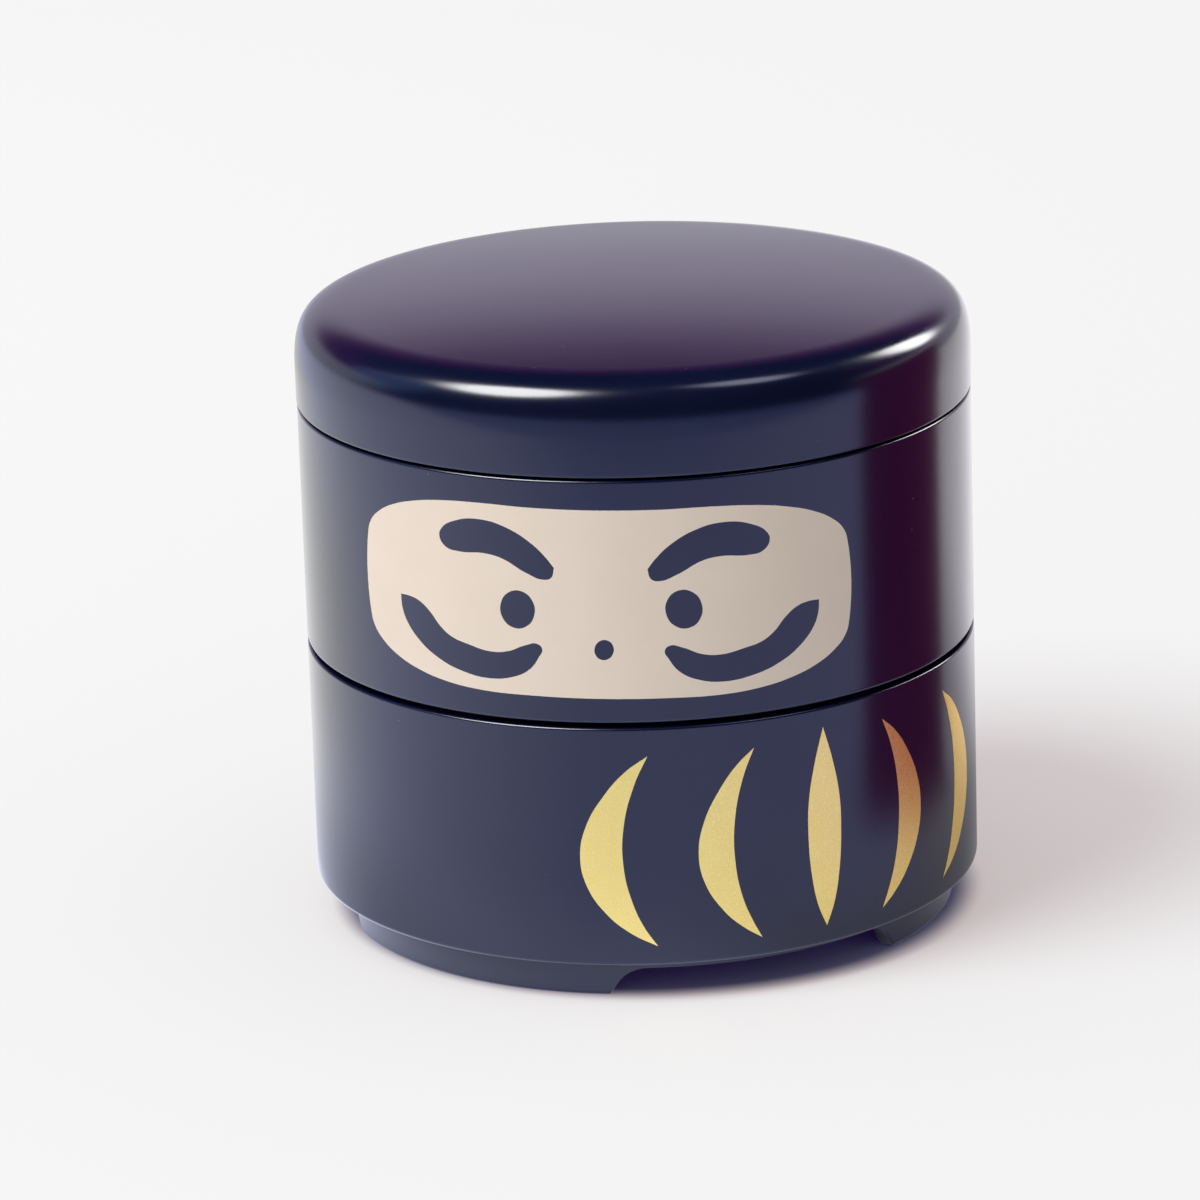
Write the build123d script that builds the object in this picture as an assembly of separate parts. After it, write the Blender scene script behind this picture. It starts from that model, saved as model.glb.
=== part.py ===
from build123d import *
import math
import os

# A round two-tier stacking box with a domed lid. Two like tiers stand on each other, and each is closed
# by a sealed inner lid that sits on a ledge in its mouth. The feet of the upper tier nest in the mouth
# of the lower one and stand on its inner lid, and the outer lid's ring does the same one storey up.
# Lengths are millimetres and angles are degrees. The origin is the centre of the base on the table,
# +Z is up, and azimuth 0 looks towards -Y, which is the middle of the decorated front.

# Tiers
box_radius = 55.0  # outside of the wall
wall_height = 39.8  # straight outer wall, without the feet
mouth_wall = 2.8  # wall thickness above the ledge
ledge_width = 1.1  # the step inward that carries the inner lid
wall_draft = 0.4  # how much narrower the room is at its floor than at the ledge
floor_thickness = 2.8
floor_corner = 5.0  # rounding where the floor meets the wall inside
rim_outer_rounding = 0.4
rim_inner_rounding = 0.8
shoulder_rounding = 0.8  # lower edge of the outer wall
ledge_rounding = 0.3

# Feet
foot_height = 6.4  # from the table to the lower edge of the wall
foot_play = 1.4  # between the feet and the mouth that they nest in
foot_wall = 3.2
foot_rounding = 0.5
foot_root_rounding = 0.6  # where a foot runs into the tier
recess_depth = 5.6  # hollow under the floor
recess_corner = 1.0
notch_count = 3
notch_height = 4.5
notch_angle = 58.8  # width of one notch at the table, seen from the box's axis
notch_slope = 57.5  # rise of a notch's sides from the table
notch_corner = 6.0  # rounding at the top of a notch's sides
notch_toe = 0.6  # rounding at the bottom of a notch's sides
lower_tier_turn = 28.2  # azimuth of a notch of the lower tier
upper_tier_turn = 0.0

# Open joints between the stacked shells
tier_gap = 0.7
lid_gap = 0.4

# Outer lid
lid_overhang = 0.1  # how far the lid stands out past the tiers' wall
lid_height = 17.8  # from the lower edge to the top of the dome
lid_wall = 2.9
lid_skirt = 5.9  # straight part of the side
dome_radius = 500.0
roll_width = 8.1  # from the side to where the dome begins
roll_top_share = 0.74  # pull of the rolled edge along the dome, of the roll's width
roll_side_share = 0.81  # pull of the rolled edge up the side, of the roll's rise
lid_edge_rounding = 0.4
lid_ring_play = 0.8  # between the lid's ring and the tier's mouth
lid_ring_wall = 2.2
lid_web = 2.8  # thickness of the web that carries the ring
lid_ring_rounding = 0.6

# Inner lids and their seals
inner_lid_play = 0.4  # between the inner lid's flange and the tier's mouth
inner_lid_flange = 1.8
inner_lid_plug_play = 0.8  # between the inner lid's plug and the room below the ledge
inner_lid_plug = 4.2  # height of the plug below the flange
inner_lid_panel = 1.6
inner_lid_wall = 1.3  # between the seal's groove and the sunk panel's recess
inner_lid_recess_rounding = 1.0
inner_lid_rounding = 0.4
grip_length = 46.0
grip_thickness = 2.6
grip_drop = 0.4  # top of the grip rib, below the flange
groove_depth = 1.4
groove_height = 2.2
groove_drop = 1.0  # from the flange down to the groove
gasket_play = 0.1  # between the seal and its groove
gasket_reach_play = 0.3  # between the seal's lips and the tier
lip_thickness = 0.6

# Divider
divider_thickness = 1.8
divider_headroom = 0.6  # between the divider and the inner lid
divider_play = 0.5  # between the divider and the room's wall and floor corner
divider_bend = 120.0  # radius of its gentle bow
divider_offset = 9.0  # how far the top of the bow lies from the box's axis
divider_pad_width = 15.0  # end pads that lie along the wall

# One overrun for every cut
overrun = 1.0

# Levels and reaches that follow from the sizes
tier_height = foot_height + wall_height
tier_pitch = wall_height + tier_gap
floor_level = recess_depth + floor_thickness
ledge_level = tier_pitch - inner_lid_flange
plug_level = ledge_level - inner_lid_plug
mouth_radius = box_radius - mouth_wall
ledge_radius = mouth_radius - ledge_width
room_radius = ledge_radius - wall_draft
foot_radius = mouth_radius - foot_play
recess_radius = foot_radius - foot_wall
lid_radius = box_radius + lid_overhang
lid_edge_level = tier_pitch + tier_height + lid_gap
lid_ring_level = tier_pitch + tier_pitch


def turned(corners):
    """Turn an outline about the box's axis. Each corner is its reach, its level and its rounding."""
    points = [(reach, level) for reach, level, rounding in corners]
    roundings = [rounding for reach, level, rounding in corners]
    outline = FilletPolyline(*points, radius=roundings, close=True)
    return revolve(Plane.XZ * make_face(outline.edges()), Axis.Z)


def notch_outline(distance):
    """One notch seen from the front: sloping sides, rounded above and below, at a distance from the axis."""
    half_width = distance * math.tan(math.radians(notch_angle / 2))
    side_run = notch_height / math.tan(math.radians(notch_slope))
    outer_width = half_width + notch_toe + notch_toe
    points = [
        (-outer_width, -overrun),
        (-outer_width, 0),
        (-half_width, 0),
        (-half_width + side_run, notch_height),
        (half_width - side_run, notch_height),
        (half_width, 0),
        (outer_width, 0),
        (outer_width, -overrun),
    ]
    roundings = [0, 0, notch_toe, notch_corner, notch_corner, notch_toe, 0, 0]
    outline = FilletPolyline(*points, radius=roundings, close=True)
    return Plane.XZ.offset(distance) * make_face(outline.edges())


def notch_cutter():
    """The space of one notch, which widens outward so that its sides point at the axis."""
    near = recess_radius * math.cos(math.radians(notch_angle / 2)) - overrun
    far = foot_radius + overrun
    return loft([notch_outline(near), notch_outline(far)], ruled=True)


def tier_body():
    """Wall, ledge, floor and foot ring of one tier, turned in one piece."""
    return turned([
        (0, recess_depth, 0),
        (recess_radius, recess_depth, recess_corner),
        (recess_radius, 0, foot_rounding),
        (foot_radius, 0, foot_rounding),
        (foot_radius, foot_height, foot_root_rounding),
        (box_radius, foot_height, shoulder_rounding),
        (box_radius, tier_height, rim_outer_rounding),
        (mouth_radius, tier_height, rim_inner_rounding),
        (mouth_radius, ledge_level, 0),
        (ledge_radius, ledge_level, ledge_rounding),
        (room_radius, floor_level, floor_corner),
        (0, floor_level, 0),
    ])


def tier(turn):
    """A tier with its foot ring cut into three feet."""
    notches = [Rot(Z=turn + number * 360 / notch_count) * notch_cutter() for number in range(notch_count)]
    return tier_body() - notches


def inner_lid_disc():
    """Flange, plug with its seal groove, and the sunk panel of an inner lid. Level 0 is the flange's top."""
    flange_radius = mouth_radius - inner_lid_play
    plug_radius = ledge_radius - inner_lid_plug_play
    groove_radius = plug_radius - groove_depth
    groove_top = -inner_lid_flange - groove_drop
    groove_bottom = groove_top - groove_height
    plug_bottom = -inner_lid_flange - inner_lid_plug
    sunk_radius = groove_radius - inner_lid_wall
    return turned([
        (0, plug_bottom + inner_lid_panel, 0),
        (sunk_radius, plug_bottom + inner_lid_panel, inner_lid_recess_rounding),
        (sunk_radius, 0, inner_lid_rounding),
        (flange_radius, 0, inner_lid_rounding),
        (flange_radius, -inner_lid_flange, 0),
        (plug_radius, -inner_lid_flange, 0),
        (plug_radius, groove_top, 0),
        (groove_radius, groove_top, 0),
        (groove_radius, groove_bottom, 0),
        (plug_radius, groove_bottom, 0),
        (plug_radius, plug_bottom, inner_lid_rounding),
        (0, plug_bottom, 0),
    ])


def grip_rib():
    """The upright rib across the sunk panel, which two fingers pinch to pull the inner lid out."""
    panel_top = inner_lid_panel - inner_lid_flange - inner_lid_plug
    rib_height = -grip_drop - panel_top
    return Pos(0, 0, panel_top) * extrude(SlotOverall(grip_length, grip_thickness), rib_height)


def inner_lid():
    return inner_lid_disc() + grip_rib()


def gasket():
    """A seal ring with a body in the groove and two lips that reach for the tier's wall."""
    plug_radius = ledge_radius - inner_lid_plug_play
    back_radius = plug_radius - groove_depth + gasket_play
    lip_radius = ledge_radius - gasket_reach_play
    top = -inner_lid_flange - groove_drop - gasket_play
    bottom = top - groove_height + gasket_play + gasket_play
    return turned([
        (back_radius, top, 0),
        (lip_radius, top, 0),
        (lip_radius, top - lip_thickness, 0),
        (plug_radius, top - lip_thickness, 0),
        (plug_radius, bottom + lip_thickness, 0),
        (lip_radius, bottom + lip_thickness, 0),
        (lip_radius, bottom, 0),
        (back_radius, bottom, 0),
    ])


def tier_room(clearance):
    """The space inside a tier, from its floor up to the ledge, drawn in from the wall by a clearance."""
    return turned([
        (0, floor_level, 0),
        (room_radius - clearance, floor_level, floor_corner),
        (ledge_radius - clearance, ledge_level, 0),
        (0, ledge_level, 0),
    ])


def divider():
    """A bowed upright plate with a pad at each end that lies along the wall, cut to fit the room."""
    height = plug_level - divider_headroom - floor_level
    half = divider_thickness / 2
    centre = Pos(0, divider_offset - divider_bend)
    plate = centre * (Circle(divider_bend + half) - Circle(divider_bend - half))
    web = Pos(0, 0, floor_level) * extrude(plate, height)
    web = web & tier_room(divider_play)
    pad_sketch = Pos(0, wall_end()) * Rectangle(box_radius + box_radius, divider_pad_width)
    pad_block = Pos(0, 0, floor_level) * extrude(pad_sketch, height)
    pads = (tier_room(divider_play) - tier_room(divider_play + divider_thickness)) & pad_block
    return web + pads


def wall_end():
    """How far from the axis, along Y, the divider's bow meets the wall."""
    reach = room_radius - divider_play
    centre = divider_offset - divider_bend
    return (divider_bend ** 2 - reach ** 2 - centre ** 2) / (-2 * centre)


def dome_outline(inset):
    """Dome and rolled edge of the lid as one smooth run, drawn in from the outside by an inset."""
    skirt_level = lid_edge_level + lid_skirt
    side = lid_radius - inset
    top = lid_edge_level + lid_height - inset
    sweep = math.degrees(math.asin((lid_radius - roll_width) / dome_radius))
    dome = JernArc((0, top), (1, 0), dome_radius - inset, -sweep)
    top_pull = (side - (dome @ 1).X) * roll_top_share
    side_pull = ((dome @ 1).Y - skirt_level) * roll_side_share
    leave = dome @ 1 + dome % 1 * top_pull
    roll = Bezier(dome @ 1, leave, (side, skirt_level + side_pull), (side, skirt_level))
    return dome, roll


def lid():
    """Domed shell with a web inside its lower edge and a ring that drops into the tier's mouth."""
    ring_outer = mouth_radius - lid_ring_play
    ring_inner = ring_outer - lid_ring_wall
    web_level = lid_edge_level + lid_web
    outer = dome_outline(0)
    inner = dome_outline(lid_wall)
    outer_end = outer[1] @ 1
    inner_end = inner[1] @ 1
    corners = [
        (outer_end.X, outer_end.Y),
        (lid_radius, lid_edge_level),
        (ring_outer, lid_edge_level),
        (ring_outer, lid_ring_level),
        (ring_inner, lid_ring_level),
        (ring_inner, web_level),
        (lid_radius - lid_wall, web_level),
        (inner_end.X, inner_end.Y),
    ]
    roundings = [lid_edge_rounding, 0, lid_ring_rounding, lid_ring_rounding, lid_ring_rounding, 0]
    foot = FilletPolyline(*corners, radius=roundings)
    crown = Line(inner[0] @ 0, outer[0] @ 0)
    edges = [*outer, *foot.edges(), *inner, crown]
    return revolve(Plane.XZ * make_face(edges), Axis.Z)


def save(node, shape):
    export_step(shape, f"parts/{node}.step")


os.makedirs("parts", exist_ok=True)
storey = Pos(0, 0, tier_pitch)
save("lower_tier", tier(lower_tier_turn))
save("lower_inner_lid", storey * inner_lid())
save("lower_gasket", storey * gasket())
save("upper_tier", storey * tier(upper_tier_turn))
save("divider", storey * divider())
save("upper_inner_lid", storey * storey * inner_lid())
save("upper_gasket", storey * storey * gasket())
save("lid", lid())
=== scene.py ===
# %% [markdown]
# # A round stacking lacquer box
# The real box is moulded resin, lacquered a near-black navy: two tiers on notched feet, a domed outer lid,
# and inside each tier a milky inner lid with a silicone seal. The shapes and their sizes come finished
# from CAD. This lesson turns the round ones again, more finely, and is otherwise about finishes, two
# prints, a floor, light and a camera. The first lines of code load the solids as a fixed frame, in metres,
# with the middle of the base at the origin.

# %% The frame
import math

import bmesh
import bpy
from mathutils import Euler, Matrix, Vector


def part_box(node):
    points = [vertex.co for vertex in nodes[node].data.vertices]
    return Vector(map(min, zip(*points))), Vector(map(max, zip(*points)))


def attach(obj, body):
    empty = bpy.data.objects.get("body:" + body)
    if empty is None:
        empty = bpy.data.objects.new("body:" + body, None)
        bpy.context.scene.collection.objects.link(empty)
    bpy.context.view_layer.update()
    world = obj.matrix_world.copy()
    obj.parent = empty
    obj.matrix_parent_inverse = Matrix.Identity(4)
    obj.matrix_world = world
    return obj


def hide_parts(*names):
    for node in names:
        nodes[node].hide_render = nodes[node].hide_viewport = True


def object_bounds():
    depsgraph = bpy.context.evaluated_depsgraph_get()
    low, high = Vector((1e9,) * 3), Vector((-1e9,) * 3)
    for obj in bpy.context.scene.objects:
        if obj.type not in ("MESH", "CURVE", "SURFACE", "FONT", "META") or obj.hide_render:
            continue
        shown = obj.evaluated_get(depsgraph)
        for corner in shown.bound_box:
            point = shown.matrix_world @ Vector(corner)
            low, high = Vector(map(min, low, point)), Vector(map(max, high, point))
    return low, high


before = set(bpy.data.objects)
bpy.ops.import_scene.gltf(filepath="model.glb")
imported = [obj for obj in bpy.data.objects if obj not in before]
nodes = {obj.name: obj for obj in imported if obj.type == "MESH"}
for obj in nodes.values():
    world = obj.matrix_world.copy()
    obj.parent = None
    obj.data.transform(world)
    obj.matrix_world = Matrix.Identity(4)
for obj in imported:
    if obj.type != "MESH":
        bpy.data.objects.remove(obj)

cad_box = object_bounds()
mm = 0.001
print("nodes", sorted(nodes))
print("CAD box in mm", [[round(side / mm, 2) for side in corner] for corner in cad_box])

# %% [markdown]
# ## The camera
# A long lens from a metre away looks a little down on the box, and a hair off level, as in a hand-held
# product picture. The painted front faces azimuth 0, so the camera stands a few degrees round from it.
# A long lens keeps the wall's sides nearly parallel, which a wide one close by would not.

# %% Camera at the photograph's place
camera_azimuth = math.radians(6.3)  # how far round the box the camera stands, from the painted front
camera_reach = 0.9994  # from the box's axis
camera_height = 0.3607
camera_tilt = math.radians(72.756)  # from straight down
camera_pan = math.radians(0.378)
camera_roll = math.radians(-1.833)
sensor_width = 36  # in mm, as the lens
lens_length = 190.19

camera = bpy.data.objects.new("camera", bpy.data.cameras.new("camera"))
bpy.context.scene.collection.objects.link(camera)
camera.data.sensor_width = sensor_width
camera.data.lens = lens_length
camera.data.clip_start = 0.05
camera.data.clip_end = 20
aim = Euler((camera_tilt, 0, camera_azimuth + camera_pan)).to_matrix()
heading = aim @ Matrix.Rotation(camera_roll, 3, "Z")
stand = Vector((math.sin(camera_azimuth), -math.cos(camera_azimuth), 0)) * camera_reach
camera.matrix_world = Matrix.Translation(stand + Vector((0, 0, camera_height))) @ heading.to_4x4()
bpy.context.scene.camera = camera
bpy.context.scene.view_settings.view_transform = "Standard"
print("camera at", [round(side, 4) for side in camera.matrix_world.translation])

# %% [markdown]
# ## Shader maths as Python
# A finish is a graph of nodes, and a graph is hard to read as a list of links. This small class wraps one
# output socket, so that `1 - mask` adds the Math node for it, and any other node comes from `node`.


# %% A wire that knows arithmetic
class Wire:
    """One output socket of a node tree. Arithmetic on wires adds Math nodes, and node() adds any other."""

    def __init__(self, tree, socket=None):
        self.tree = tree
        self.socket = socket

    def node(self, kind, settings, sockets, output=0):
        """Add a node: its settings first, then the values or wires of its sockets. Returns one output."""
        made = self.tree.nodes.new(kind)
        for name, value in settings.items():
            setattr(made, name, value)
        for name, value in sockets.items():
            if isinstance(value, Wire):
                self.tree.links.new(value.socket, made.inputs[name])
            else:
                made.inputs[name].default_value = value
        return Wire(self.tree, made.outputs[output] if made.outputs else None)

    def math(self, operation, *values):
        return self.node("ShaderNodeMath", {"operation": operation}, dict(enumerate(values)))

    def __add__(self, other):
        return self.math("ADD", self, other)

    def __sub__(self, other):
        return self.math("SUBTRACT", self, other)

    def __rsub__(self, other):
        return self.math("SUBTRACT", other, self)

    def __mul__(self, other):
        return self.math("MULTIPLY", self, other)

    def __gt__(self, other):
        return self.math("GREATER_THAN", self, other)

    def __lt__(self, other):
        return self.math("LESS_THAN", self, other)

    __radd__ = __add__

    def between(self, low, high):
        """0 below low, 1 above high, and a smooth step from one to the other."""
        limits = {"Value": self, "From Min": low, "From Max": high}
        return self.node("ShaderNodeMapRange", {"interpolation_type": "SMOOTHSTEP"}, limits)

    def blend(self, first, second):
        """A colour: first where this wire is 0, second where it is 1."""
        return self.node("ShaderNodeMix", {"data_type": "RGBA"}, {0: self, 6: first, 7: second}, 2)


# %% [markdown]
# ## A material, its grain and its bump
# Every finish here is the same layered idea: a base colour that varies a little, a roughness that varies a
# little, and a fine relief. Noise is laid out in the object's own metres, so a grain size is a real size.


# %% Helpers for a finish
def new_finish(name):
    """A new material, as a loose wire in its tree, and the object coordinates in metres."""
    material = bpy.data.materials.new(name)
    material.use_nodes = True
    material.node_tree.nodes.clear()
    start = Wire(material.node_tree)
    place = start.node("ShaderNodeTexCoord", {}, {}, "Object")
    return material, start, place


def grain(place, size, detail=2):
    """Soft noise between 0 and 1 whose lumps are about a size across."""
    sockets = {"Vector": place, "Scale": 1 / size, "Detail": detail}
    return place.node("ShaderNodeTexNoise", {}, sockets, "Fac")


def relief(height, depth, under=None):
    """A bumped normal: height from 0 to 1 stands for a depth in metres."""
    sockets = {"Strength": 1, "Distance": depth, "Height": height}
    if under is not None:
        sockets["Normal"] = under
    return height.node("ShaderNodeBump", {}, sockets)


def surface(start, **sockets):
    """Close a finish with one Principled shader. Socket names are given with underscores."""
    named = {name.replace("_", " ").title().replace("Ior", "IOR"): value for name, value in sockets.items()}
    shader = start.node("ShaderNodeBsdfPrincipled", {}, named)
    start.node("ShaderNodeOutputMaterial", {}, {"Surface": shader})


# %% [markdown]
# ## Lacquer
# The shells are sprayed with a tinted urethane lacquer: nearly black, with a little blue in it, and satin
# rather than mirror-like. Sprayed lacquer is never dead flat. It has an orange peel of long shallow
# waves a millimetre or two wide, a fine tooth that makes the reflections soft, and a few specks of dust.
# So the roughness wanders a little, two reliefs are stacked, and a few cells of a Voronoi pattern
# give the specks.


# %% Lacquer
def lacquer_finish():
    material, start, place = new_finish("navy_lacquer")
    cloud = grain(place, 18 * mm)
    tooth = grain(place, 0.25 * mm, 3)
    peel = grain(place, 2.2 * mm, 1)
    # A speck is the middle of a cell, in the fifth of the cells that draw a high ticket.
    cells = {"Vector": place, "Scale": 1 / (3.4 * mm)}
    middle = start.node("ShaderNodeTexVoronoi", {}, cells, "Distance") < 0.026
    lottery = start.node("ShaderNodeTexVoronoi", {}, cells, "Color")
    ticket = start.node("ShaderNodeSeparateColor", {}, {"Color": lottery}, "Red")
    dust = middle * (ticket > 0.8)
    body = cloud.blend((0.0016, 0.0034, 0.0170, 1), (0.0028, 0.0050, 0.0240, 1))
    paint = (dust * 0.6).blend(body, (0.30, 0.31, 0.36, 1))
    rough = 0.16 + cloud * 0.03 + tooth * 0.04 + dust * 0.3
    fine = relief(tooth, 0.0028 * mm)
    surface(start, base_color=paint, roughness=rough, ior=1.55, normal=relief(peel, 0.005 * mm, fine))
    return material


lacquer = lacquer_finish()
print("lacquer has", len(lacquer.node_tree.nodes), "nodes")

# %% [markdown]
# ## The two paints
# The figure's face is a matt warm beige, laid on opaque. The belly stripes are gold: fine metal flakes in
# a clear binder. A flake paint is only partly a mirror, so the metallic value is a mix, and it sparkles
# because each flake lies at its own tilt, which a fine grain in the roughness stands for. The paler flecks
# in the colour are painted glints.


# %% Beige paint and gold paint
def beige_finish():
    material, start, place = new_finish("beige_print")
    cloud = grain(place, 9 * mm)
    dots = grain(place, 0.22 * mm, 2)
    paint = (cloud * 0.6 + dots * 0.4).blend((0.70, 0.595, 0.485, 1), (0.78, 0.675, 0.565, 1))
    rough = 0.44 + dots * 0.12
    surface(start, base_color=paint, roughness=rough, ior=1.45, normal=relief(dots, 0.002 * mm))
    return material


def gold_finish():
    material, start, place = new_finish("gold_print")
    flakes = grain(place, 0.20 * mm, 2)
    sparkle = flakes.between(0.56, 0.70)
    cloud = grain(place, 5 * mm)
    paint = (cloud * 0.5 + flakes * 0.5).blend((0.96, 0.66, 0.140, 1), (1.0, 0.82, 0.235, 1))
    # paler flecks where the flakes peak: painted glints
    glinting_paint = (sparkle * 0.5).blend(paint, (0.95, 0.82, 0.42, 1))
    rough = 0.36 - sparkle * 0.12
    surface(start, base_color=glinting_paint, metallic=0.9, roughness=rough, normal=relief(flakes, 0.006 * mm))
    return material


beige = beige_finish()
gold = gold_finish()
print("paints are", beige.name, "and", gold.name)

# %% [markdown]
# ## The inner pieces
# What lies inside isn't lacquered. The inner lids are polypropylene, milky because the plain resin lets some
# light in, with the fine frosting of a blasted mould. The seals are pale silicone, smooth but never glossy.
# The divider is black polypropylene with a coarser spark-eroded grain that hides scratches.


# %% Milky lids, silicone and black resin
def milky_finish():
    material, start, place = new_finish("milky_resin")
    frost = grain(place, 0.30 * mm, 3)
    cloud = grain(place, 14 * mm)
    resin = (cloud * 0.7 + frost * 0.3).blend((0.66, 0.69, 0.70, 1), (0.78, 0.80, 0.80, 1))
    rough = 0.38 + frost * 0.16
    surface(start, base_color=resin, roughness=rough, ior=1.49, normal=relief(frost, 0.004 * mm))
    return material


def silicone_finish():
    material, start, place = new_finish("pale_silicone")
    skin = grain(place, 0.5 * mm, 2)
    lint = (grain(place, 1.1 * mm, 4) > 0.72) * 0.35
    body = lint.blend((0.730, 0.730, 0.672, 1), (0.434, 0.445, 0.434, 1))
    rough = 0.52 + skin * 0.14
    surface(start, base_color=body, roughness=rough, ior=1.41, normal=relief(skin, 0.006 * mm))
    return material


def black_resin_finish():
    material, start, place = new_finish("black_resin")
    sparks = grain(place, 0.45 * mm, 3)
    scuffs = grain(place, 4 * mm, 4).between(0.55, 0.75)
    body = (scuffs * 0.5).blend((0.010, 0.010, 0.012, 1), (0.026, 0.026, 0.029, 1))
    rough = 0.50 + sparks * 0.2
    surface(start, base_color=body, roughness=rough, ior=1.49, normal=relief(sparks, 0.012 * mm))
    return material


def dress(node, material):
    """Give a CAD node one finish, in every slot of its object."""
    piece = nodes[node]
    for slot in piece.material_slots:
        slot.link = "OBJECT"
        slot.material = material
    print(node, "wears", material.name)


milky = milky_finish()
silicone = silicone_finish()
black_resin = black_resin_finish()
dress("divider", black_resin)

# %% [markdown]
# ## Turned shells
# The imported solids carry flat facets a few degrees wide. They hold the right shape, but a gloss finish
# betrays them along every small rounded edge. The shells, inner lids and seals are all turned shapes,
# so they are turned again here, finely: an outline of corners, each with its own rounding, swept round
# the axis. Sizes in millimetres are the solids' own, and places come from the frame. A long straight
# run gets a holding point near each end, which keeps the smooth shading of a rounding out of the wall.

# %% An outline with rounded corners
gentle_bend = math.radians(1)
rounding_step = math.radians(11)


def rounded(corners):
    """Points in mm along a closed outline of (reach, level, rounding) corners."""
    points = []
    for number, (reach, level, rounding) in enumerate(corners):
        here = Vector((reach, level))
        if not rounding:
            points.append(here)
            continue
        back = (Vector(corners[number - 1][:2]) - here).normalized()
        ahead = (Vector(corners[(number + 1) % len(corners)][:2]) - here).normalized()
        half = back.angle(ahead) / 2
        middle = here + (back + ahead).normalized() * rounding / math.sin(half)
        spoke = here + back * rounding / math.tan(half) - middle
        sweep = spoke.angle_signed(here + ahead * rounding / math.tan(half) - middle)
        steps = max(3, math.ceil(abs(sweep) / rounding_step))
        for step in range(steps + 1):
            points.append(middle + Matrix.Rotation(-sweep * step / steps, 2) @ spoke)
    return points


def held(points, hold=0.15):
    """The same closed outline, with a holding point near each end of a long run that ends in a bend.
    A gentle bend is part of a slow curve, which holding points would break into facets."""
    count = len(points)
    run = []
    for number, here in enumerate(points):
        back, ahead, beyond = points[number - 1], points[(number + 1) % count], points[(number + 2) % count]
        along = ahead - here
        pull = along.normalized() * hold
        run.append(here)
        at_axis = here.x < hold and ahead.x < hold
        if along.length < 6 * hold or at_axis:
            continue
        if along.angle(here - back, 0) > gentle_bend:
            run.append(here + pull)
        if along.angle(beyond - ahead, 0) > gentle_bend:
            run.append(ahead - pull)
    return run


# %% Turning an outline
on_axis = 1e-6  # a reach in mm under which a ring is a single point


def even_columns(step=1.5):
    """Azimuths all the way round, in degrees, each with no lift of the outline's lowest part."""
    return [(turn * step, 0) for turn in range(round(360 / step))]


def turned(name, outline, columns, lift_zone=0):
    """Sweep an outline in mm round the axis. What lies within lift_zone above its foot is squeezed up
    by each column's lift, which is how notches are cut between the feet."""
    foot = min(point.y for point in outline)
    verts, rings = [], []
    for reach, level in outline:
        share = max(0, 1 - (level - foot) / lift_zone) if lift_zone else 0
        ring = []
        for azimuth, lift in columns:
            turn = math.radians(azimuth)
            if not ring or reach > on_axis:
                x, y = reach * math.sin(turn) * mm, -reach * math.cos(turn) * mm
                verts.append((x, y, (level + lift * share) * mm))
            ring.append(len(verts) - 1)
        rings.append(ring)
    faces = []
    for number, ring in enumerate(rings):
        ahead = rings[(number + 1) % len(rings)]
        if max(outline[number].x, outline[(number + 1) % len(rings)].x) <= on_axis:
            continue
        for column in range(len(columns)):
            beside = (column + 1) % len(columns)
            corners = (ring[column], ring[beside], ahead[beside], ahead[column])
            faces.append(tuple(dict.fromkeys(corners)))
    mesh = bpy.data.meshes.new(name)
    mesh.from_pydata(verts, [], faces)
    return smooth(mesh)


def smooth(mesh, angle=35):
    """Smooth shading, with a hard edge where two faces meet at more than an angle in degrees."""
    work = bmesh.new()
    work.from_mesh(mesh)
    bmesh.ops.recalc_face_normals(work, faces=work.faces)
    work.to_mesh(mesh)
    work.free()
    mesh.shade_smooth()
    mesh.set_sharp_from_angle(angle=math.radians(angle))
    return mesh


def hang(mesh, finish, body, stands_for=None):
    """Put a mesh in the scene with its finish, on the body that it moves with."""
    piece = bpy.data.objects.new(mesh.name, mesh)
    bpy.context.scene.collection.objects.link(piece)
    mesh.materials.clear()
    mesh.materials.append(finish)
    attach(piece, body)
    if stands_for:
        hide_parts(stands_for)
    print(mesh.name, "has", len(mesh.polygons), "faces")


# %% [markdown]
# ## The tiers
# A tier is a deep cup on a foot ring. Its mouth is stepped: the ledge carries the inner lid, and the thicker
# wall above it is what the next tier's feet nest in. Three wide notches cut the ring into feet, so that
# fingers get under it. The notch's own outline, steep and rounded at the top, gives the columns where
# the sweep is lifted, so its curve is as fine as the wall.

# %% Tier sizes in millimetres and degrees
mouth_wall = 2.8
ledge_width = 1.1
room_draft = 0.4  # how much the room narrows on its way down
foot_play = 1.4  # between the feet and the mouth that they nest in
foot_wall = 3.2
foot_height = 6.4
recess_depth = 5.6  # the hollow inside the foot ring
floor_thickness = 2.8
flange = 1.8  # of the inner lid, which lies on the ledge and carries the next tier
notch_count = 3
notch_height = 4.5
notch_angle = 58.8
notch_slope = 57.5
lift_zone = notch_height + 0.7  # the part of the foot ring that a notch squeezes up
widest_column = 1.5
lower_turn, upper_turn = 28.2, 0  # azimuth of each tier's first notch

wall_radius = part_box("upper_tier")[1].x
box_radius = wall_radius / mm
mouth_radius = box_radius - mouth_wall
ledge_radius = mouth_radius - ledge_width
room_radius = ledge_radius - room_draft
foot_radius = mouth_radius - foot_play
recess_radius = foot_radius - foot_wall
floor_level = recess_depth + floor_thickness
tier_height = (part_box("upper_tier")[1].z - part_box("upper_tier")[0].z) / mm
tier_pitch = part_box("upper_tier")[0].z / mm
ledge_level = tier_pitch - flange
print("tiers are", round(tier_height, 2), "mm tall and stand", round(tier_pitch, 2), "mm apart")


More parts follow.
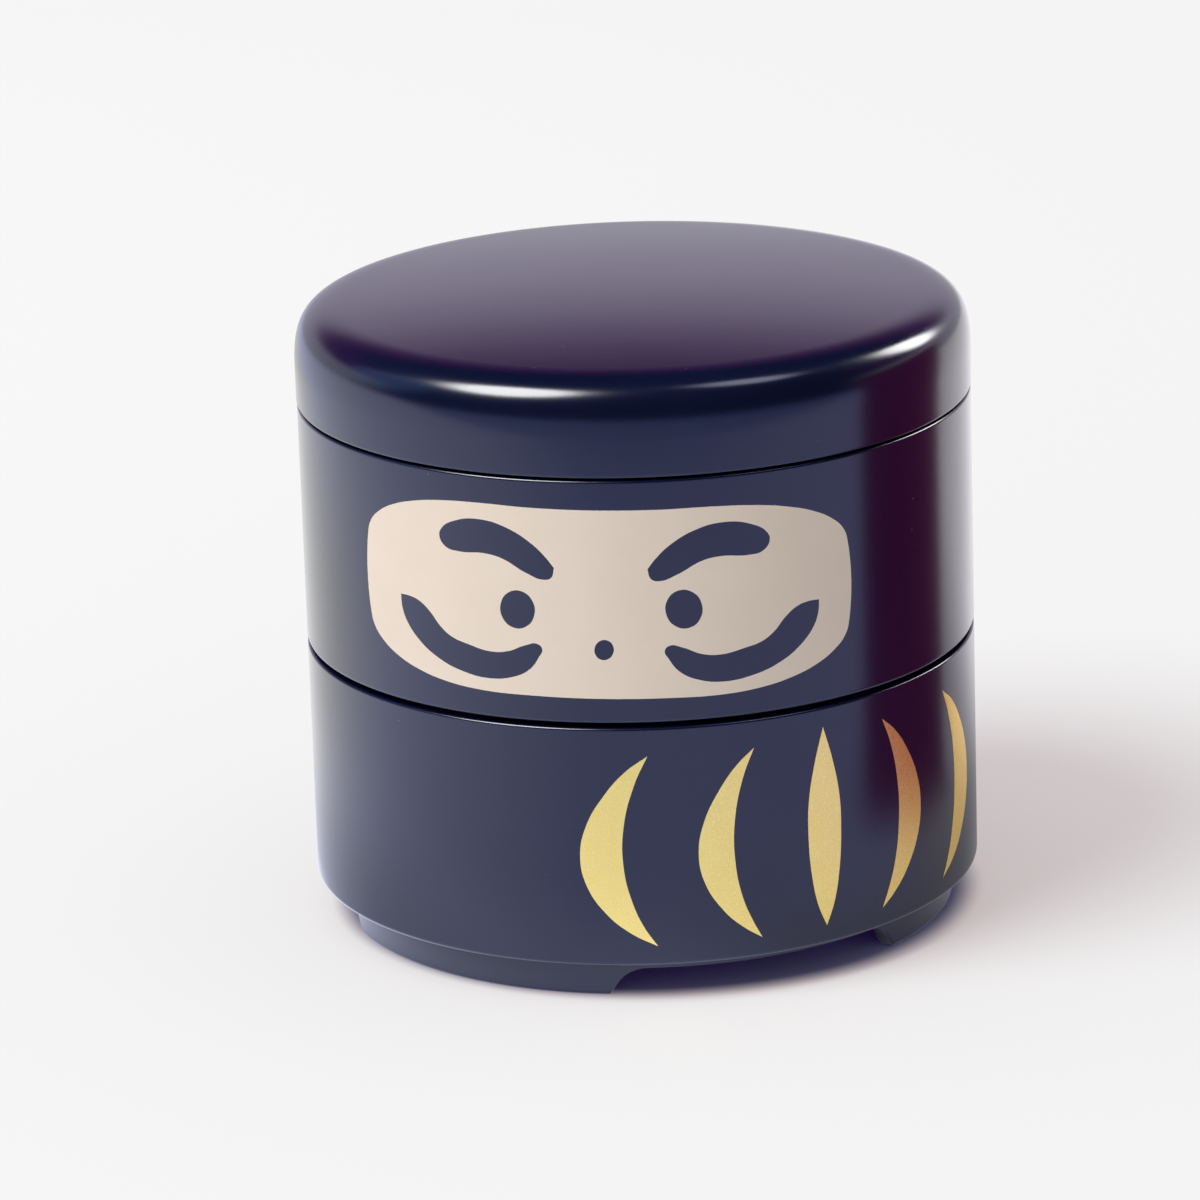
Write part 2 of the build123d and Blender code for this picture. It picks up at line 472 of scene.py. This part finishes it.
# %% A tier's columns and its outline
def notched_columns(turn):
    """Azimuth and lift of every column of a tier whose first notch is at a turn in degrees."""
    foot_arc = math.radians(notch_angle / 2) * foot_radius
    top_arc = foot_arc - notch_height / math.tan(math.radians(notch_slope))
    far = math.radians(180 / notch_count) * foot_radius
    side = rounded([(0, notch_height, 0), (top_arc, notch_height, 6.0), (foot_arc, 0, 0.6), (far, 0, 0)])
    half = [(math.degrees(point.x / foot_radius), point.y) for point in side]
    filled = []
    for (start, level), (end, next_level) in zip(half, half[1:]):
        parts = max(1, math.ceil((end - start) / widest_column))
        for part in range(parts):
            azimuth = start + (end - start) * part / parts
            filled.append((azimuth, level + (next_level - level) * part / parts))
    whole = [(-azimuth, lift) for azimuth, lift in reversed(filled[1:])] + filled + [half[-1]]
    thirds = [turn + number * 360 / notch_count for number in range(notch_count)]
    return [(third + azimuth, lift) for third in thirds for azimuth, lift in whole]


tier_corners = [
    (0, recess_depth, 0), (recess_radius, recess_depth, 1.0), (recess_radius, 0, 0.5), (foot_radius, 0, 0.5),
    (foot_radius, foot_height, 0.6), (box_radius, foot_height, 0.8), (box_radius, tier_height, 0.4),
    (mouth_radius, tier_height, 0.8), (mouth_radius, ledge_level, 0), (ledge_radius, ledge_level, 0.3),
    (room_radius, floor_level, 5.0), (0, floor_level, 0)]


def tier_shell(name, body, base, turn):
    outline = [point + Vector((0, base)) for point in held(rounded(tier_corners))]
    mesh = turned(name, outline, notched_columns(turn), lift_zone)
    hang(mesh, lacquer, body, body)


tier_shell("lower_shell", "lower_tier", 0, lower_turn)
tier_shell("upper_shell", "upper_tier", tier_pitch, upper_turn)

# %% [markdown]
# ## The outer lid
# The lid's crown is a very flat dome that rolls over into the side in one run, with no edge that the eye can
# find: an arc, then a Bezier curve whose pulls lie along the arc's end and straight up the side. Inside, a
# web carries the ring that drops into the tier's mouth.

# %% Lid sizes and shell
lid_low, lid_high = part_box("lid")
lid_radius = lid_high.x / mm
lid_top = lid_high.z / mm
lid_ring_level = lid_low.z / mm
lid_height = 17.8  # without its ring
lid_edge = lid_top - lid_height
lid_skirt = 5.9  # the straight part of the side
lid_wall = 2.9
ring_play = 0.8  # between the ring and the mouth that it drops into
ring_wall = 2.2
web = 2.8  # what joins the ring to the side
dome_radius = 500.0
dome_parts = 12
roll_width = 8.1
roll_parts = 28
roll_pulls = 0.74, 0.81  # of the roll's width, along the dome, and of its drop, up the side


def crown(inset):
    """The dome and the rolled edge, from the axis out and down to the side, drawn in by an inset."""
    sweep = math.asin((lid_radius - roll_width) / dome_radius)
    middle = Vector((0, lid_top - dome_radius))
    line = []
    for part in range(dome_parts + 1):
        turn = sweep * part / dome_parts
        line.append(middle + Vector((math.sin(turn), math.cos(turn))) * (dome_radius - inset))
    start = line[-1]
    side, skirt = lid_radius - inset, lid_edge + lid_skirt
    end = Vector((side, skirt))
    leave = start + Vector((math.cos(sweep), -math.sin(sweep))) * (side - start.x) * roll_pulls[0]
    arrive = Vector((side, skirt + (start.y - skirt) * roll_pulls[1]))
    for step in range(1, roll_parts + 1):
        near = step / roll_parts
        far = 1 - near
        leaving = start * far ** 3 + leave * 3 * far ** 2 * near
        line.append(leaving + arrive * 3 * far * near ** 2 + end * near ** 3)
    return line


def lid_outline():
    ring_outer = mouth_radius - ring_play
    ring_inner = ring_outer - ring_wall
    web_level = lid_edge + web
    outer, inner = crown(0), crown(lid_wall)
    turns = [
        (*outer[-1], 0), (lid_radius, lid_edge, 0.4), (ring_outer, lid_edge, 0),
        (ring_outer, lid_ring_level, 0.6), (ring_inner, lid_ring_level, 0.6), (ring_inner, web_level, 0.6),
        (lid_radius - lid_wall, web_level, 0), (*inner[-1], 0)]
    return held(outer[:-1] + rounded(turns) + inner[-2::-1])


hang(turned("lid_shell", lid_outline(), even_columns()), lacquer, "lid", "lid")

# %% [markdown]
# ## Inner lids and seals
# An inner lid is a shallow tray: a flange that lies on the ledge, a plug below it with the seal's groove, a
# sunk panel, and one upright rib that two fingers pinch. The rib isn't turned, so it is drawn as a slot,
# two half circles joined by straights, and raised.

# %% Inner lid sizes in millimetres, with heights counted from the top of the flange
flange_play = 0.4
plug_play = 0.8
plug_height = 4.2
panel = 1.6
rim_wall = 1.3  # between the groove and the sunk panel
groove_depth = 1.4
groove_height = 2.2
groove_drop = 1.0  # from the flange
seal_play = 0.1
lip_play = 0.3
lip = 0.6
rib_length = 46.0
rib_half = 1.3  # half its thickness
rib_drop = 0.4  # its top below the flange's
rib_root = 0.2  # how deep it stands in the panel
rib_edge = [(0.5, 1), (0.22, 0.93), (0.05, 0.8), (0, 0.6)]  # drops from its top, and shares of its thickness
rib_end_share = 0.05  # how much its ends draw in for what its sides do

flange_radius = mouth_radius - flange_play
plug_radius = ledge_radius - plug_play
groove_radius = plug_radius - groove_depth
sunk_radius = groove_radius - rim_wall
plug_bottom = -flange - plug_height
panel_top = plug_bottom + panel
groove_top = -flange - groove_drop
groove_bottom = groove_top - groove_height
tray_corners = [
    (0, panel_top, 0), (sunk_radius, panel_top, 1.0), (sunk_radius, 0, 0.4), (flange_radius, 0, 0.4),
    (flange_radius, -flange, 0), (plug_radius, -flange, 0), (plug_radius, groove_top, 0),
    (groove_radius, groove_top, 0), (groove_radius, groove_bottom, 0), (plug_radius, groove_bottom, 0),
    (plug_radius, plug_bottom, 0.4), (0, plug_bottom, 0)]
seal_back, seal_lip = groove_radius + seal_play, ledge_radius - lip_play
seal_top, seal_bottom = groove_top - seal_play, groove_bottom + seal_play
seal_corners = [
    (seal_back, seal_top, 0.1), (seal_lip, seal_top, 0.2), (seal_lip, seal_top - lip, 0.2),
    (plug_radius, seal_top - lip, 0.1), (plug_radius, seal_bottom + lip, 0.1),
    (seal_lip, seal_bottom + lip, 0.2), (seal_lip, seal_bottom, 0.2), (seal_back, seal_bottom, 0.1)]
print("an inner lid is", round(2 * flange_radius, 2), "mm across and", round(-plug_bottom, 2), "mm tall")


# %% Inner lids, ribs and seals
def grip_rib(name, level):
    """The upright rib on the sunk panel, softened along its top edge, and much less at its ends."""
    half_run = rib_length / 2 - rib_half
    slot = []
    for side, middle in ((0, half_run), (180, -half_run)):
        for step in range(13):
            turn = math.radians(side - 90 + step * 15)
            slot.append(((middle + rib_half * math.cos(turn)) * mm, rib_half * math.sin(turn) * mm))
    foot, top = level + panel_top - rib_root, level - rib_drop
    rows = [(foot, 1)] + [(top - drop, share) for drop, share in rib_edge]
    verts = []
    for height, share in rows:
        stretch = 1 - (1 - share) * rib_end_share
        verts += [(x * stretch, y * share, height * mm) for x, y in slot]
    count = len(slot)
    faces = [tuple(range(count)), tuple(range(len(verts) - count, len(verts)))]
    for row in range(len(rows) - 1):
        for place in range(count):
            beside = (place + 1) % count
            base = row * count
            faces.append((base + place, base + beside, base + count + beside, base + count + place))
    mesh = bpy.data.meshes.new(name)
    mesh.from_pydata(verts, [], faces)
    return smooth(mesh)


for storey, level in (("lower", tier_pitch), ("upper", 2 * tier_pitch)):
    body = storey + "_inner_lid"
    lifted = Vector((0, level))
    tray_outline = [point + lifted for point in held(rounded(tray_corners))]
    hang(turned(storey + "_tray", tray_outline, even_columns(2)), milky, body, body)
    hang(grip_rib(storey + "_rib", level), milky, body)
    seal_outline = [point + lifted for point in rounded(seal_corners)]
    hang(turned(storey + "_seal", seal_outline, even_columns(2)), silicone, body, storey + "_gasket")

# %% [markdown]
# ## Prints as films on a round wall
# The prints are films of paint a few hundredths of a millimetre thick. A picture of them would need an image
# texture, and a formula for such free curves is hard to write and harder to change. So each print is drawn
# flat, as Blender curves through a few listed points, filled with its holes left open, cut into
# narrow upright strips and rolled round the wall. Because the lacquer shows through real holes, it keeps
# its own gloss there.

# %% From a flat drawing to a film on the wall
film = 0.06 * mm  # half of it lies in the wall
strip = math.radians(2)
strip_count = 45  # on each side of azimuth 0
curve_steps = 10  # between two points of a line
hair = 0.001 * mm  # points closer than this are one


def closed_line(points, tips=()):
    """A closed smooth curve through points in mm. The points numbered in tips are sharp corners."""
    return [(x * mm, z * mm, number in tips) for number, (x, z) in enumerate(points)]


def mirrored(line):
    """The same outline on the other side of the figure's centre line."""
    return [(-x, z, tip) for x, z, tip in line]


def moved(line, across):
    return [(x + across * mm, z, tip) for x, z, tip in line]


def drawn_flat(name, lines):
    """Curves filled in the flat, with x across the wall and y up it. Lines inside others are holes."""
    drawing = bpy.data.curves.new(name, "CURVE")
    drawing.dimensions = "2D"
    drawing.fill_mode = "BOTH"
    drawing.resolution_u = curve_steps
    for line in lines:
        spline = drawing.splines.new("BEZIER")
        spline.use_cyclic_u = True
        spline.bezier_points.add(len(line) - 1)
        for point, (x, z, tip) in zip(spline.bezier_points, line):
            point.co = (x, z, 0)
            point.handle_left_type = point.handle_right_type = "VECTOR" if tip else "AUTO"
    sheet = bpy.data.objects.new(name, drawing)
    bpy.context.scene.collection.objects.link(sheet)
    bpy.context.view_layer.update()
    mesh = bpy.data.meshes.new_from_object(sheet.evaluated_get(bpy.context.evaluated_depsgraph_get()))
    bpy.data.objects.remove(sheet)
    return mesh


def rolled_on(mesh):
    """Cut a flat mesh into upright strips, give it the film's thickness and roll it round the wall."""
    work = bmesh.new()
    work.from_mesh(mesh)
    bmesh.ops.remove_doubles(work, verts=work.verts, dist=hair)
    bmesh.ops.dissolve_limit(work, angle_limit=math.radians(1), verts=[], edges=work.edges[:])
    for edge in range(-strip_count, strip_count):
        everything = [*work.verts, *work.edges, *work.faces]
        across = Vector((edge * strip * wall_radius, 0, 0))
        bmesh.ops.bisect_plane(work, geom=everything, dist=hair, plane_co=across, plane_no=(1, 0, 0))
    front = bmesh.ops.extrude_face_region(work, geom=work.faces[:], use_keep_orig=True)["geom"]
    front_verts = [part for part in front if isinstance(part, bmesh.types.BMVert)]
    bmesh.ops.translate(work, verts=front_verts, vec=(0, 0, film))
    for vert in work.verts:
        across, level, thickness = vert.co
        turn = across / wall_radius
        out = wall_radius - film / 2 + thickness
        vert.co = (out * math.sin(turn), -out * math.cos(turn), level)
    work.to_mesh(mesh)
    work.free()
    return smooth(mesh)


def print_on(name, lines, finish, body):
    """Draw, roll and hang one print on the tier that carries it."""
    hang(rolled_on(drawn_flat(name, lines)), finish, body)


# %% [markdown]
# ## The figure's face
# The round tumbling doll that this box is dressed as has a fixed traditional face: brows and whiskers like
# spread wings, and small eyes. It is one beige window with those shapes left open. The window's outline
# is a squared oval, its corners tighter at the sides than above and below.

# %% The window and what is left open in it
window_middle = (-0.83, 66.6)
window_half = (42.13, 15.4)
corner_shares = (
    (0.24, 1), (0.46, 1), (0.62, 0.967), (0.74, 0.908),
    (0.85, 0.815), (0.93, 0.70), (0.98, 0.575), (1, 0.44))
print_lean = -0.0105  # the print stands a little askew: its rise per unit across


def window_line():
    """A quarter of the window's outline, given as shares of its half width and height, set four ways."""
    across, up = window_middle
    wide, tall = window_half
    ring = [*corner_shares] + [(x, -z) for x, z in reversed(corner_shares)]
    ring += [(-x, -z) for x, z in corner_shares] + [(-x, z) for x, z in reversed(corner_shares)]
    return closed_line([(across + x * wide, up + z * tall) for x, z in ring])


def leant(line):
    return [(x, z + print_lean * x, tip) for x, z, tip in line]


def eye(across, up, wide, tall, tilt):
    """A small ellipse, leaning by a tilt in degrees."""
    cosine, sine = math.cos(math.radians(tilt)), math.sin(math.radians(tilt))
    points = []
    for step in range(8):
        turn = math.radians(step * 45)
        x, z = wide * math.cos(turn), tall * math.sin(turn)
        points.append((across + x * cosine - z * sine, up + x * sine + z * cosine))
    return closed_line(points)


brow = closed_line([
    (7.35, 72.4), (8.5, 73.9), (11, 76.25), (15, 78.45), (19.5, 79.35), (24, 78.6), (26.7, 76.9),
    (27.1, 75.6), (26, 74.05), (23.5, 73.6), (19, 73.85), (16, 73.35), (12, 71.35), (9.2, 70.4),
    (7.9, 70.75)], tips=(0,))
whisker = closed_line([
    (9.7, 59), (10.5, 59.8), (12.5, 59.4), (15.5, 58.15), (18.5, 57.8), (22.5, 58.5), (25.5, 59.3),
    (27.5, 60.6), (29.5, 62.7), (31.5, 64.1), (33.4, 64.6), (35.6, 64.6), (35.4, 62.4), (34.5, 60.3),
    (32, 57.6), (28, 55.2), (23.5, 53.8), (19, 53.3), (15, 53.9), (12, 55.4), (10.3, 57.6)], tips=(11,))
eyes = [eye(-13.6, 65.2, 2.88, 3.15, -15), eye(12.9, 65.65, 2.9, 3.2, 15)]
nose = eye(0.2, 59.25, 1.5, 1.68, -20)
face_lines = [window_line(), brow, mirrored(brow), whisker, mirrored(whisker), *eyes, nose]
print_on("face_print", [leant(line) for line in face_lines], beige, "upper_tier")

# %% [markdown]
# ## The belly stripes
# Five gold brush strokes fan round the doll's belly: a lens in the middle and two crescents on each side.
# A stroke starts and ends in a point, so its end points are tips and the rest are smooth. They stand
# to the right of the face, because a round tier can be turned under the one above it.

# %% Five gold strokes
belly_azimuth = math.radians(37.3)
belly_middle = belly_azimuth * box_radius
lens = closed_line([
    (0, 43.0), (1.75, 37), (2.9, 31), (3.1, 25.5), (2.6, 18.5), (1.5, 13.2), (0, 9.6), (-1.5, 13.2),
    (-2.6, 18.5), (-3.1, 25.5), (-2.9, 31), (-1.75, 37)], tips=(0, 6))
near_stroke = closed_line([
    (12.2, 41.6), (15.2, 39), (18.2, 35), (20.7, 30), (21.65, 25), (20.8, 20), (17.85, 15), (14.85, 12),
    (11.55, 9.7), (13.2, 13), (14.7, 17), (15.75, 23), (15.65, 30), (14.1, 37)], tips=(0, 8))
far_stroke = closed_line([
    (29.35, 41.6), (33.0, 39), (36.5, 35), (39.4, 30), (40.5, 25), (39.6, 20), (36.3, 15), (32.7, 12),
    (28.5, 9.75), (30.6, 13), (32.3, 17), (33.6, 23), (33.4, 30), (31.5, 37)], tips=(0, 8))
strokes = [lens, near_stroke, mirrored(near_stroke), far_stroke, mirrored(far_stroke)]
print_on("belly_print", [moved(stroke, belly_middle) for stroke in strokes], gold, "lower_tier")

# %% [markdown]
# ## The floor
# Satin lacquer is mostly a picture of the room round it. The camera looks down, so the upright walls mirror
# the floor near the box, and the lid mirrors the backdrop far behind it. A product picture is taken in a
# room of bright and dark parts, while its paper floor looks pale and even. So the floor and the world each
# look one way to the camera and another to mirrored rays, which a Light Path node tells apart. The floor
# is turned to face the camera: across grows to the camera's right, and away grows behind the box.

# %% The floor
floor_reach = 8.0
floor_drop = 0.05 * mm  # keeps the floor clear of the feet
bright_side = (-0.966, 0.259, 0)  # where the room is bright: the left of the box, a little behind it
floor_corners = [
    (-floor_reach, -floor_reach, 0), (floor_reach, -floor_reach, 0), (floor_reach, floor_reach, 0),
    (-floor_reach, floor_reach, 0)]
floor_mesh = bpy.data.meshes.new("floor")
floor_mesh.from_pydata(floor_corners, [], [(0, 1, 2, 3)])
floor = bpy.data.objects.new("floor", floor_mesh)
bpy.context.scene.collection.objects.link(floor)
floor.rotation_euler = (0, 0, camera_azimuth)
floor.location = (0, 0, -floor_drop)


def floor_finish():
    material, start, place = new_finish("paper_floor")
    seen = start.node("ShaderNodeLightPath", {}, {}, "Is Camera Ray")
    gloss = start.node("ShaderNodeLightPath", {}, {}, "Is Glossy Ray")
    across = start.node("ShaderNodeSeparateXYZ", {}, {"Vector": place}, "X")
    away = start.node("ShaderNodeSeparateXYZ", {}, {"Vector": place}, "Y")
    reach = start.node("ShaderNodeVectorMath", {"operation": "LENGTH"}, {0: place}, "Value")
    compass = start.node("ShaderNodeVectorMath", {"operation": "NORMALIZE"}, {0: place})
    sides = {0: compass, 1: bright_side}
    facing = start.node("ShaderNodeVectorMath", {"operation": "DOT_PRODUCT"}, sides, "Value")
    left = start.math("MAXIMUM", facing, 0)

    # Regions of the floor, 1 inside and 0 outside, from distances in metres.
    clear = reach.between(0.044, 0.054)
    near = 1 - reach.between(0.05, 0.12)
    right = across.between(0, 0.05)
    lit = away.between(-0.375, -0.325) * clear
    beside = away.between(-0.075, -0.02) * reach.between(0.056, 0.066)
    back_right = away.between(0.03, 0.15) * across.between(0.04, 0.12)
    far_left = 1 - across.between(-0.30, -0.20)
    # where the card's red reflection and shade are painted on the mirrored floor
    card_reflection_and_shade = across.between(0.092, 0.120) * away.between(-0.075, -0.045) * (1 - away.between(0.015, 0.035))
    open_floor = (reach - right * (3 * mm)).between(47.5 * mm, 53.5 * mm)

    # What the walls mirror glows, most on the bright side and by the front feet. It is dimmed as painted
    # shade beside the box and far off, and has no glow where the card's red reflection is painted.
    side_dim = beside * (1 - reach.between(0.065, 0.125)) * 0.42
    far_dim = reach.between(0.33, 0.38) * 0.52
    side_glow = (left * 0.66 + left * left * 0.10) * (1 - far_dim)
    foot_glow = near * (1 - right) * (1 - beside) * 0.45
    front_glow = (0.29 + side_glow) * (1 - side_dim) + foot_glow
    glow = gloss * (1 - card_reflection_and_shade) * (lit * front_glow + back_right * 0.8)

    # The same floor also glows bluish in the lacquer. Behind the box it stays grey, and at its right the
    # glow gives way to painted shade.
    grey_back = away.between(-0.04, 0.10) * (1 - far_left * 0.6)
    shaded_right = away.between(-0.04, 0) * across.between(0.03, 0.07)
    cool = gloss * clear * (1 - card_reflection_and_shade) * (1 - side_dim)
    cool = cool * (1 - grey_back) * (1 - shaded_right)
    green = cool * (1 - near * right) * 0.08
    blue = cool * (1 - near * right * 0.8) * 0.62

    # To the camera the floor is lifted to a pale level by a faintly rosy glow, a little more behind the box.
    # It stays dark next to the feet, where the real shadow is tinted navy as painted contact shade.
    lifted = seen * open_floor * 0.365
    sweep = seen * open_floor * (0.008 + away.between(-0.3, 0.7) * 0.05)
    contact_shade_tint = seen * (1 - open_floor)

    # The paper's colour, with painted light and shade in it. Mirrored, it is a little rosy at the right as
    # painted light and darker far in front as painted shade, and red at the foot of the card as its painted
    # reflection.
    # To the camera it is a little cyan, which takes back the lift's rose in the open so that only shadows
    # turn warm, and it is darker and bluer next to the feet as painted contact shade.
    tooth = grain(place, 0.7 * mm, 3)
    lit_paper = across.between(0.03, 0.12).blend((0.37, 0.37, 0.37, 1), (0.365, 0.31, 0.385, 1))
    plain_paper = lit.blend((0.27, 0.27, 0.27, 1), lit_paper)
    mirrored_paper = card_reflection_and_shade.blend(plain_paper, (0.20, 0.012, 0.09, 1))
    seen_paper = open_floor.blend((0.25, 0.27, 0.36, 1), (0.352, 0.413, 0.413, 1))
    paper = gloss.blend(seen.blend((0.370, 0.366, 0.367, 1), seen_paper), mirrored_paper)
    matt = start.node("ShaderNodeBsdfDiffuse", {}, {"Color": paper, "Normal": relief(tooth, 0.004 * mm)})

    even = glow + sweep
    levels = {
        "Red": even + lifted * 1.12 + contact_shade_tint * 0.005,
        "Green": even + lifted * 0.88 + green,
        "Blue": even + lifted * 0.88 + blue + contact_shade_tint * 0.024}
    tinted = start.node("ShaderNodeCombineColor", {}, levels)
    lift = start.node("ShaderNodeEmission", {}, {"Color": tinted, "Strength": 1})
    both = start.node("ShaderNodeAddShader", {}, {0: matt, 1: lift})
    start.node("ShaderNodeOutputMaterial", {}, {"Surface": both})
    return material


floor_mesh.materials.append(floor_finish())
print("floor is", 2 * floor_reach, "m wide")

# %% [markdown]
# ## The room in the lacquer
# The world is plain and nearly white to the camera, and an even grey to the rays that carry soft light. Only
# mirrored rays see a room in it: a pale backdrop that fades out upward, a faint wine band above it, and
# four soft round patches, which draw the gleams along the lid's roll.


# %% The world
def toward(azimuth, elevation):
    """A direction from the box. Azimuth 0 is towards the camera, and grows to its right."""
    turn = camera_azimuth + math.radians(azimuth)
    rise = math.radians(elevation)
    return Vector((math.sin(turn) * math.cos(rise), -math.cos(turn) * math.cos(rise), math.sin(rise)))


world = bpy.data.worlds.new("studio")
world.use_nodes = True
world.node_tree.nodes.clear()
bpy.context.scene.world = world
sky = Wire(world.node_tree)
for_camera = sky.node("ShaderNodeLightPath", {}, {}, "Is Camera Ray")
for_gloss = sky.node("ShaderNodeLightPath", {}, {}, "Is Glossy Ray")
direction = sky.node("ShaderNodeTexCoord", {}, {}, "Generated")
sideways = sky.node("ShaderNodeSeparateXYZ", {}, {"Vector": direction}, "X")
depth = sky.node("ShaderNodeSeparateXYZ", {}, {"Vector": direction}, "Y")
height = sky.node("ShaderNodeSeparateXYZ", {}, {"Vector": direction}, "Z")


def patch(azimuth, elevation, half_angle, edge):
    """1 in a round patch of the room and 0 outside it, with a soft edge. Angles are in degrees."""
    sockets = {0: direction, 1: toward(azimuth, elevation)}
    cosine = sky.node("ShaderNodeVectorMath", {"operation": "DOT_PRODUCT"}, sockets, "Value")
    outer, inner = math.cos(math.radians(half_angle + edge)), math.cos(math.radians(half_angle - edge))
    return cosine.between(outer, inner)


behind = depth.between(-0.2, 0.3)
arched = height + sky.math("ABSOLUTE", sideways) * 0.12
backdrop = behind * (1 - arched.between(0.295, 0.455)) * 0.71
wine_band = behind * height.between(-0.1, 0.5) * (1 - height.between(0.46, 0.65)) * 0.14
halo = patch(-61, 54, 19, 4) * 6.5  # round the key softbox
back_patch = patch(127, 30, 11, 3) * 14
top_patch = patch(79, 67, 10, 3) * 3.4
left_patch = patch(-97, 24, 16, 7)
white = backdrop + halo + back_patch + top_patch
room_levels = {
    "Red": white + wine_band + left_patch * 0.22,
    "Green": white + left_patch * 0.40,
    "Blue": white + backdrop * 0.14 + wine_band + top_patch * 0.3 + left_patch * 0.80}
mirrored_room = sky.node("ShaderNodeCombineColor", {}, room_levels)
fill = 0.66  # the level of the soft light, which is a touch blue
lit_room = for_gloss.blend((fill, fill, fill * 1.02, 1), mirrored_room)
around = sky.node("ShaderNodeBackground", {}, {"Color": lit_room, "Strength": 1})
plain = sky.node("ShaderNodeBackground", {}, {"Color": (0.93, 0.93, 0.93, 1), "Strength": 1})
either = sky.node("ShaderNodeMixShader", {}, {0: for_camera, 1: around, 2: plain})
sky.node("ShaderNodeOutputWorld", {}, {"Surface": either})
print("world has", len(world.node_tree.nodes), "nodes")

# %% [markdown]
# ## Light
# One large softbox stands high at the camera's left. It lights the left side of the face, throws the soft
# shadow to the right, and with the halo round it draws the long gleam on the lid's rolled edge. It is set
# by where it stands seen from the box and by how bright its face is, because that is what the lacquer
# mirrors. The other gleams come from the world's patches, which cast no shadow of their own.

# %% The key softbox
aim_level = cad_box[1].z * 0.7


def softbox(name, azimuth, elevation, distance, half_angle, brightness):
    """A round light aimed at the box. The half angle is how wide it looks from the box, in degrees, and
    the brightness is what a mirror there would show."""
    lamp = bpy.data.lights.new(name, "AREA")
    lamp.shape = "DISK"
    lamp.size = 2 * distance * math.tan(math.radians(half_angle))
    lamp.energy = brightness * math.pi * math.pi * (lamp.size / 2) ** 2
    away = toward(azimuth, elevation)
    box = bpy.data.objects.new(name, lamp)
    bpy.context.scene.collection.objects.link(box)
    box.location = Vector((0, 0, aim_level)) + away * distance
    box.rotation_euler = away.to_track_quat("Z", "Y").to_euler()
    print(name, "is", round(lamp.size, 2), "m wide and gives", round(lamp.energy, 1), "W")


softbox("key_softbox", azimuth=-59, elevation=54, distance=4, half_angle=16, brightness=12.4)

# %% [markdown]
# ## A wine-red card
# The upright red band at the right of each wall is the mirror image of something wine-red beside the box,
# so a card of that colour stands there. Only mirrored rays meet it: the camera looks through it, and it
# casts neither light nor shadow. At its foot, the mirrored floor carries the card's painted red reflection
# and shade.

# %% The card
card_near = (121 * mm, -54 * mm)
card_far = (117 * mm, 23 * mm)
card_height = 112 * mm
card_lift = 1 * mm  # how high its lower edge stands
card_corners = [(*card_near, 0), (*card_far, 0), (*card_far, card_height), (*card_near, card_height)]
card_mesh = bpy.data.meshes.new("wine_card")
card_mesh.from_pydata(card_corners, [], [(0, 1, 2, 3)])
card = bpy.data.objects.new("wine_card", card_mesh)
bpy.context.scene.collection.objects.link(card)
card.rotation_euler = (0, 0, camera_azimuth)
card.location = (0, 0, card_lift)
card.visible_camera = False
card.visible_diffuse = False
card.visible_shadow = False


def felt_finish():
    material, start, place = new_finish("wine_felt")
    felt = grain(place, 0.8 * mm, 3).blend((0.25, 0.010, 0.11, 1), (0.35, 0.015, 0.16, 1))
    shader = start.node("ShaderNodeBsdfDiffuse", {}, {"Color": felt})
    start.node("ShaderNodeOutputMaterial", {}, {"Surface": shader})
    return material


card_mesh.materials.append(felt_finish())
print("card is", round(card_height / mm), "mm tall")
